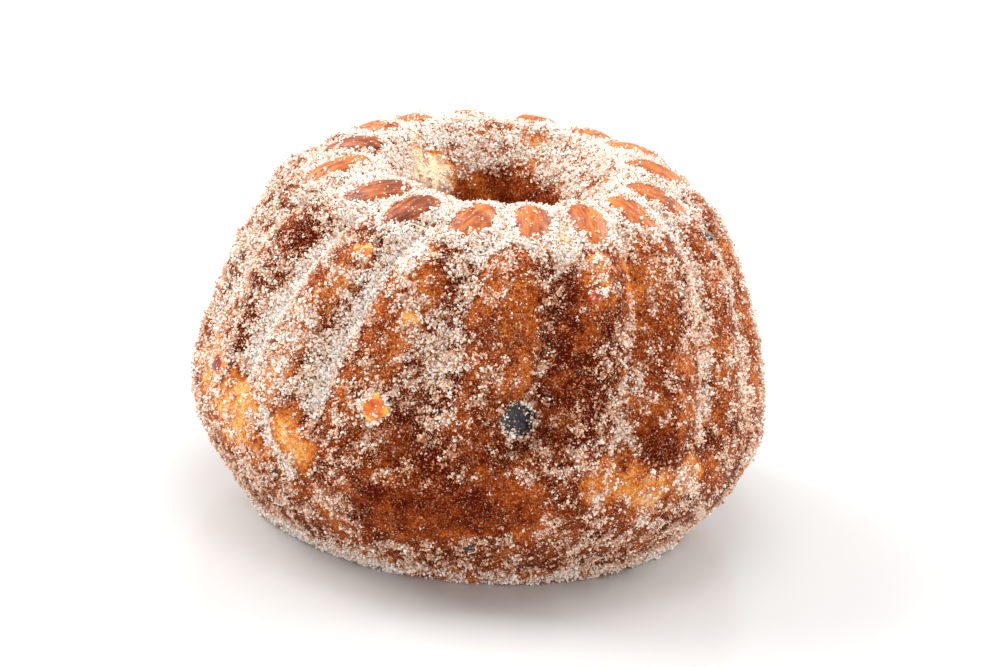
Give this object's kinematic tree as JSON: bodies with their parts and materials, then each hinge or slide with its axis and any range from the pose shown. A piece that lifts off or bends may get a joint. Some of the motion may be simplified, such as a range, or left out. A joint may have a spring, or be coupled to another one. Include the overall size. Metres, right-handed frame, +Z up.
{
  "type": "kugelhopf",
  "caption": "Tall ring cake with swirled flutes, whole almonds round its crest, raisins and candied peel in the crust, and a coat of coarse sugar.",
  "frame": {"origin": "on the table, in the middle of the foot, on the axis of the ring", "axes": "+Z up along the axis of the ring, -Y towards the front that the picture shows, +X to the viewer's right"},
  "size_m": [0.1856, 0.1835, 0.119],
  "materials": {
    "crust": "baked yeast dough crust, orange to mahogany brown, half glossy, coated in sugar",
    "almond_skin": "roasted brown almond skin with fine lengthwise wrinkles",
    "raisin": "dark wrinkled raisin skin, half glossy",
    "candied_peel": "translucent orange candied peel, glossy",
    "sugar": "coarse white sugar grains"
  },
  "bodies": {
    "root": {"cake": "crust", "almond_01": "almond_skin", "almond_02": "almond_skin", "almond_03": "almond_skin", "almond_04": "almond_skin", "almond_05": "almond_skin", "almond_06": "almond_skin", "almond_07": "almond_skin", "almond_08": "almond_skin", "almond_09": "almond_skin", "almond_10": "almond_skin", "almond_11": "almond_skin", "almond_12": "almond_skin", "almond_13": "almond_skin", "almond_14": "almond_skin", "almond_15": "almond_skin", "almond_16": "almond_skin", "raisin_1": "raisin", "raisin_2": "raisin", "raisin_3": "raisin", "raisin_4": "raisin", "peel_1": "candied_peel", "peel_2": "candied_peel", "peel_3": "candied_peel", "peel_4": "candied_peel", "peel_5": "candied_peel"}
  },
  "joints": []
}
